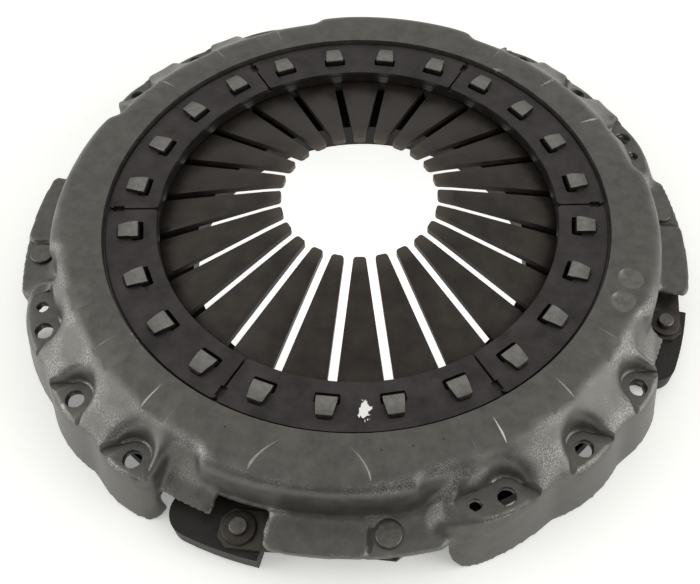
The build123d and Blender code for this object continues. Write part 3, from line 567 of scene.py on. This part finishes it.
# %% [markdown]
# ### What is struck after the draw
#
# The bolt pads are coined flat, the rivet seats are spot-faced, the crown gets one shallow relief and two
# balancing cuts, and the holes are pierced. These are the crisp lines of the real part. Relaxing would
# blur them, so they are cut into the skin afterwards, as a press shop does it. Each cut is a plain solid
# taken away by a boolean, and its walls can take a surface of their own: bare steel in the pierced holes,
# and a painted highlight, a light line, on the walls of the seats, the relief and the front and left flat
# strips.

# %% Solids that cut
QUARTER_TURNS = (0, 90, 180, 270)
# Surfaces for the walls of a cut: the coat; light steel, bare in the holes and a painted highlight
# elsewhere; drilled steel.
COATED, BARE_AND_LIT, DRILLED = 0, 1, 2


def around(radius, angle):
    """Point in plan, in millimetres, at a radius and an angle."""
    return (radius * math.cos(math.radians(angle)), radius * math.sin(math.radians(angle)))


def disc(radius, angle, size, steps=40):
    """Plan of a round cut."""
    x, y = around(radius, angle)
    turns = [2 * math.pi * i / steps for i in range(steps)]
    return [(x + size * math.cos(t), y + size * math.sin(t)) for t in turns]


def prism(foot, low, high, head=None):
    """Vertices and faces of an upright solid between a plan and, if it spreads, a larger one above."""
    count = len(foot)
    points = [(x, y, low) for x, y in foot] + [(x, y, high) for x, y in head or foot]
    sides = [(i, (i + 1) % count, (i + 1) % count + count, i + count) for i in range(count)]
    return points, [tuple(reversed(range(count))), tuple(range(count, 2 * count))] + sides


def each_quarter(solid):
    """Copies of a solid at the four quarters: front, right, back and left."""
    points, faces = solid
    made = []
    for turn_angle in QUARTER_TURNS:
        cosine, sine = around(1, turn_angle)
        made.append(([(x * cosine - y * sine, x * sine + y * cosine, z) for x, y, z in points], faces))
    return made


def strike(piece, solids, walls=COATED, way="DIFFERENCE"):
    """Cut solids, in millimetres, out of a piece, or keep what they share; walls take a surface of it."""
    points, faces, surfaces = [], [], []
    for solid_points, solid_faces in solids:
        faces += [tuple(i + len(points) for i in face) for face in solid_faces]
        surfaces += [COATED] * 2 + [walls] * (len(solid_faces) - 2)
        points += solid_points
    mesh = bpy.data.meshes.new("strike")
    mesh.from_pydata([(x * MM, y * MM, z * MM) for x, y, z in points], [], faces)
    for material in piece.data.materials:
        mesh.materials.append(material)
    mesh.polygons.foreach_set("material_index", surfaces)
    cutter = bpy.data.objects.new("strike", mesh)
    bpy.context.scene.collection.objects.link(cutter)
    apply(piece, "BOOLEAN", operation=way, solver="MANIFOLD", object=cutter)
    bpy.data.objects.remove(cutter)
    bpy.data.meshes.remove(mesh)


# %% Recess and bore
ABOVE = 75
RECESS_R, RECESS_FLOOR = 176.6, 61.45
BORE_R, BORE_FROM = 140.2, 50

pressing.data.materials.clear()
for surface in (phosphated_steel, bare_and_lit_steel, drilled_steel):
    pressing.data.materials.append(surface)
strike(pressing, [prism(disc(0, 0, RECESS_R, 360), RECESS_FLOOR, ABOVE)])
strike(pressing, [prism(disc(0, 0, BORE_R, 240), BORE_FROM, ABOVE)])
print("recess and bore:", len(pressing.data.polygons), "faces")

# %% [markdown]
# ### Pads, seats and holes
#
# A coined pad is an arch round its bolt that flares to two cusps at the rim; the first pad of a quarter
# runs on past a dowel hole. The punch that makes it spreads upwards, so the plan is drawn once and grown
# for the top of the cutter. Seats and holes are simple plans, struck after the pads.

# %% Plans of the pads
PAD_ROUND = 11
PAD_CUSP, PAD_RIM = (5.5, 18.2), (40, 19)


def shield(bolt, grow=1.0):
    """Plan of one coined pad: an arch round the bolt that flares to two cusps at the rim."""
    local = [PAD_RIM, PAD_CUSP]
    local += [around(PAD_ROUND, a) for a in range(112, 249, 8)]
    local += [(x, -y) for x, y in (PAD_CUSP, PAD_RIM)]
    centre = around(BOLT_R, bolt)
    cosine, sine = around(grow, bolt)
    return [(centre[0] + x * cosine - y * sine, centre[1] + x * sine + y * cosine) for x, y in local]


def wide_shield(grow=1.0):
    """Plan of the first pad, which runs on past the dowel hole to a blunt end."""
    more = (grow - 1) * PAD_ROUND
    blunt = [(215.4 - more, -64), (215.6 - more, -67), (217.5, -68 - more / 4),
             (226, -67.8 - more / 4), (262, -67)]
    return shield(BOLT_ANGLES[0], grow)[:-8] + [around(*point) for point in blunt]


print("pad plans:", len(shield(BOLT_ANGLES[1])), "corners, and", len(wide_shield()), "for the wide one")

# %% Coin the pads and spot-face the rivet seats
PAD_FLOOR, PAD_ROOF = 43.3, 60
COIN_SPREAD = 1.4
RIVET_R, RIVET_ANGLE = 226.9, -78.5
SPOT_R, SPOT_FLOOR, SPOT_ROOF = 9.6, 33.3, 42
SEAT_FROM, SEAT_TO = 221.5, 250
SEAT_ANGLES = (-81.8, -80, -78.5, -77)
SEAT_FLOOR, SEAT_ROOF = 33.6, 40

coined = each_quarter(prism(wide_shield(), PAD_FLOOR, PAD_ROOF, wide_shield(COIN_SPREAD)))
for bolt in BOLT_ANGLES[1:]:
    coined += each_quarter(prism(shield(bolt), PAD_FLOOR, PAD_ROOF, shield(bolt, COIN_SPREAD)))
coined += each_quarter(prism(disc(RIVET_R, RIVET_ANGLE, SPOT_R), SPOT_FLOOR, SPOT_ROOF))
strike(pressing, coined)
seat = [around(SEAT_FROM, a) for a in SEAT_ANGLES] + [around(SEAT_TO, a) for a in reversed(SEAT_ANGLES)]
# The seats' walls take the painted highlight.
strike(pressing, each_quarter(prism(seat, SEAT_FLOOR, SEAT_ROOF)), BARE_AND_LIT)
print("coined:", len(coined), "places")

# %% Pierce the holes
HOLE_FROM, HOLE_TO = 20, 60
BOLT_HOLE_R, DOWEL_HOLE_R = 5.5, 3.6

pierced = []
for bolt in BOLT_ANGLES:
    pierced += each_quarter(prism(disc(BOLT_R, bolt, BOLT_HOLE_R), HOLE_FROM, HOLE_TO))
pierced += each_quarter(prism(disc(DOWEL_R, DOWEL_ANGLE, DOWEL_HOLE_R), HOLE_FROM, HOLE_TO))
strike(pressing, pierced, BARE_AND_LIT)
print("pierced:", len(pierced), "holes")

# %% [markdown]
# ### Marks on the crown
#
# The crown carries a shallow relief at the front, flat strips towards the bolts, a few centre-punch dots
# and two dished balancing cuts. They could be drawn in the colour alone, but real cuts catch the light
# from every side, so each one is a thin solid that only just dips into the crown.

# %% Relief
# A tilted cut with a round inner end, which runs out where the shoulder starts to roll.
RELIEF_ROUND = 37
RELIEF_SPREAD = 20
RELIEF_RISE = 12
RELIEF_AT = (-2.5, -215.0)
RELIEF_TOP = 67.8
RELIEF_LEAN = math.radians(3.5)

half_turn = range(0, 181, 5)
relief_foot = [around(RELIEF_ROUND, a) for a in half_turn]
relief_head = [around(RELIEF_ROUND + RELIEF_SPREAD, a) for a in half_turn]
upright, relief_faces = prism(relief_foot, 0, RELIEF_RISE, relief_head)
relief_points = []
for x, y, z in upright:
    drop = (RELIEF_ROUND - y) * math.sin(RELIEF_LEAN)
    relief_points.append((RELIEF_AT[0] + x, RELIEF_AT[1] + y, RELIEF_TOP - drop + z))
# The relief's walls take the painted highlight, two bright crescents.
strike(pressing, [(relief_points, relief_faces)], BARE_AND_LIT)
print("relief cut:", len(pressing.data.polygons), "faces")

# %% Flat strips
# Towards each bolt the crown is flattened, and at the front and left the walls of its creases carry a
# painted highlight.
STRIP_FROM, STRIP_TO = 184.5, 212
STRIP_HALF = 8.8
STRIP_SPREAD = 12
STRIP_FLOOR, STRIP_ROOF = 67.45, 80
STRIP_FALL = 0.13

highlighted_strips, coated = [], []
for bolt in BOLT_ANGLES:
    cosine, sine = around(1, bolt)
    plans = []
    for half in (STRIP_HALF, STRIP_HALF + STRIP_SPREAD):
        corners = [(STRIP_FROM, half), (STRIP_FROM, -half), (STRIP_TO, -half), (STRIP_TO, half)]
        plans.append([(x * cosine - y * sine, x * sine + y * cosine) for x, y in corners])
    points, faces = prism(plans[0], STRIP_FLOOR, STRIP_ROOF, plans[1])
    points[2:4] = [(x, y, z - (STRIP_TO - STRIP_FROM) * STRIP_FALL) for x, y, z in points[2:4]]
    front, right, back, left = each_quarter((points, faces))
    highlighted_strips += [front, left]
    coated += [right, back]
strike(pressing, highlighted_strips, BARE_AND_LIT)
strike(pressing, coated)
print("flat strips:", len(highlighted_strips) + len(coated))

# %% Punch dots
DOT_R, DOT_SIZE = 188, 0.7
DOT_FROM, DOT_TO = 67.0, 69
DOT_ANGLES = (-107.3, -78.8, -73.1, -67.5)
strike(pressing, [prism(disc(DOT_R, a, DOT_SIZE, 8), DOT_FROM, DOT_TO) for a in DOT_ANGLES])
print("punch dots:", len(DOT_ANGLES))

# %% Balancing cuts
# Each is a shallow bite of a large ball cutter.
CROWN_TOP = 67.5
DISH_AT = 193
DISH_ANGLES = (-19, -13)
DISH_R, DISH_DEPTH = 9.5, 2.4
DISH_STEPS, DISH_RINGS = 48, 16
ball_r = (DISH_R ** 2 + DISH_DEPTH ** 2) / (2 * DISH_DEPTH)
sweep = np.linspace(0.02, math.asin(DISH_R / ball_r) + 0.15, DISH_RINGS)
for dish_angle in DISH_ANGLES:
    points = []
    for tip in sweep:
        ring_z = CROWN_TOP - DISH_DEPTH + ball_r * (1 - math.cos(tip))
        ring = disc(DISH_AT, dish_angle, ball_r * math.sin(tip), DISH_STEPS)
        points += [(x, y, ring_z) for x, y in ring]
    last = DISH_STEPS * (DISH_RINGS - 1)
    faces = [tuple(reversed(range(DISH_STEPS))), tuple(last + i for i in range(DISH_STEPS))]
    for i in range(DISH_STEPS):
        j = (i + 1) % DISH_STEPS
        for k in range(0, last, DISH_STEPS):
            faces.append((k + i, k + j, k + j + DISH_STEPS, k + i + DISH_STEPS))
    strike(pressing, [(points, faces)], DRILLED)
    print("dish at", dish_angle, "leaves", len(pressing.data.polygons), "faces")

# %% [markdown]
# ### Finish the pressing
#
# Shading is smooth over the drawn forms and keeps the struck lines, told apart by the angle between
# faces. The pressing then stands for the plain solid and moves with the cover's body.

# %% Smooth shading and hand-over of the cover
COVER_CREASE = 38


def smooth(piece, degrees):
    """Smooth shading that keeps edges sharper than an angle."""
    deselect()
    piece.select_set(True)
    bpy.context.view_layer.objects.active = piece
    bpy.ops.object.shade_smooth_by_angle(angle=math.radians(degrees))


smooth(pressing, COVER_CREASE)
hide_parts("cover")
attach(pressing, "cover_assembly")
print("cover struck:", len(pressing.data.polygons), "faces")

# %% [markdown]
# ## Small pieces with broken edges
#
# Stamped and bent steel never keeps a knife edge: tumbling rounds it, and the round catches the light as
# a thin line. The CAD solids have the right forms, so each small piece is a merged copy whose flat
# faces are made whole again and whose edges then get a narrow bevel.

# %% Rounded copies
FLAT_WITHIN = 0.6
SHARP_FROM = 35
PIECE_CREASE = 25


def break_edges(name, width_mm, inside=None):
    """A copy of a CAD solid with its sharp edges rounded, first cut to a solid that it stays inside."""
    piece = copy_solid(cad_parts[name], name + "_finished")
    if inside:
        strike(piece, [inside], way="INTERSECT")
    bpy.ops.object.mode_set(mode="EDIT")
    bpy.ops.mesh.select_all(action="SELECT")
    bpy.ops.mesh.dissolve_limited(angle_limit=math.radians(FLAT_WITHIN))
    bpy.ops.object.mode_set(mode="OBJECT")
    apply(piece, "BEVEL", width=width_mm * MM, segments=2, limit_method="ANGLE",
          angle_limit=math.radians(SHARP_FROM))
    smooth(piece, PIECE_CREASE)
    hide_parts(name)
    return piece


# %% Hooks and segments
# The tabs of the hooks are sheared at a slant, so a wide cone trims their outer ends.
TAB_END, TAB_FOOT = 167.4, 64.5
SHEAR_SLANT = 0.7
TRIM_TOP = 80
SEGMENTS = 6

trim_foot = disc(0, 0, TAB_END + TAB_FOOT * SHEAR_SLANT, 360)
trim_head = disc(0, 0, TAB_END - (TRIM_TOP - TAB_FOOT) * SHEAR_SLANT, 360)
trim = prism(trim_foot, 0, TRIM_TOP, trim_head)
small = {"retaining_hooks": (0.9, "hook_steel", trim), "preload_segment": (0.35, "segment_steel", None)}
for stem, (width, slot_name, inside) in small.items():
    for number in range(1, SEGMENTS + 1):
        piece = break_edges(f"{stem}_{number}", width, inside)
        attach(piece, "cover_assembly")
    print(stem, "finished, the last with", len(piece.data.polygons), "faces")

# %% Rivets and washers
for name, width, body, slot_name in (("cover_rivets", 0.8, "cover_assembly", "rivet_steel"),
                                     ("lug_rivets", 0.8, "pressure_plate", "rivet_steel"),
                                     ("lug_washers", 0.4, "pressure_plate", "washer_steel")):
    piece = break_edges(name, width)
    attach(piece, body)
    print(name, "finished with", len(piece.data.polygons), "faces")

# %% [markdown]
# ## Spring and straps
#
# Two pieces bend when the plate lifts. The diaphragm spring flattens about its fulcrum, and each pack of
# drive straps is riveted to the cover at one end and to the plate's lug at the other. Both get broken
# edges here; the spring's copy goes with the cover's body, and the straps stay where they stand.

# %% Diaphragm spring
SPRING_EDGE = 0.7
spring = break_edges("diaphragm_spring", SPRING_EDGE)
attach(spring, "cover_assembly")
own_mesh(spring)
print("spring:", len(spring.data.polygons), "faces")

# %% Drive straps
STRAP_EDGE = 0.15
STRAP_PACKS = 4
for number in range(1, STRAP_PACKS + 1):
    straps = break_edges(f"drive_straps_{number}", STRAP_EDGE)
    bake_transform(straps)
print("straps blended between cover and plate:", STRAP_PACKS, "packs")

# %% [markdown]
# Dressing must not make the part larger than its solids.
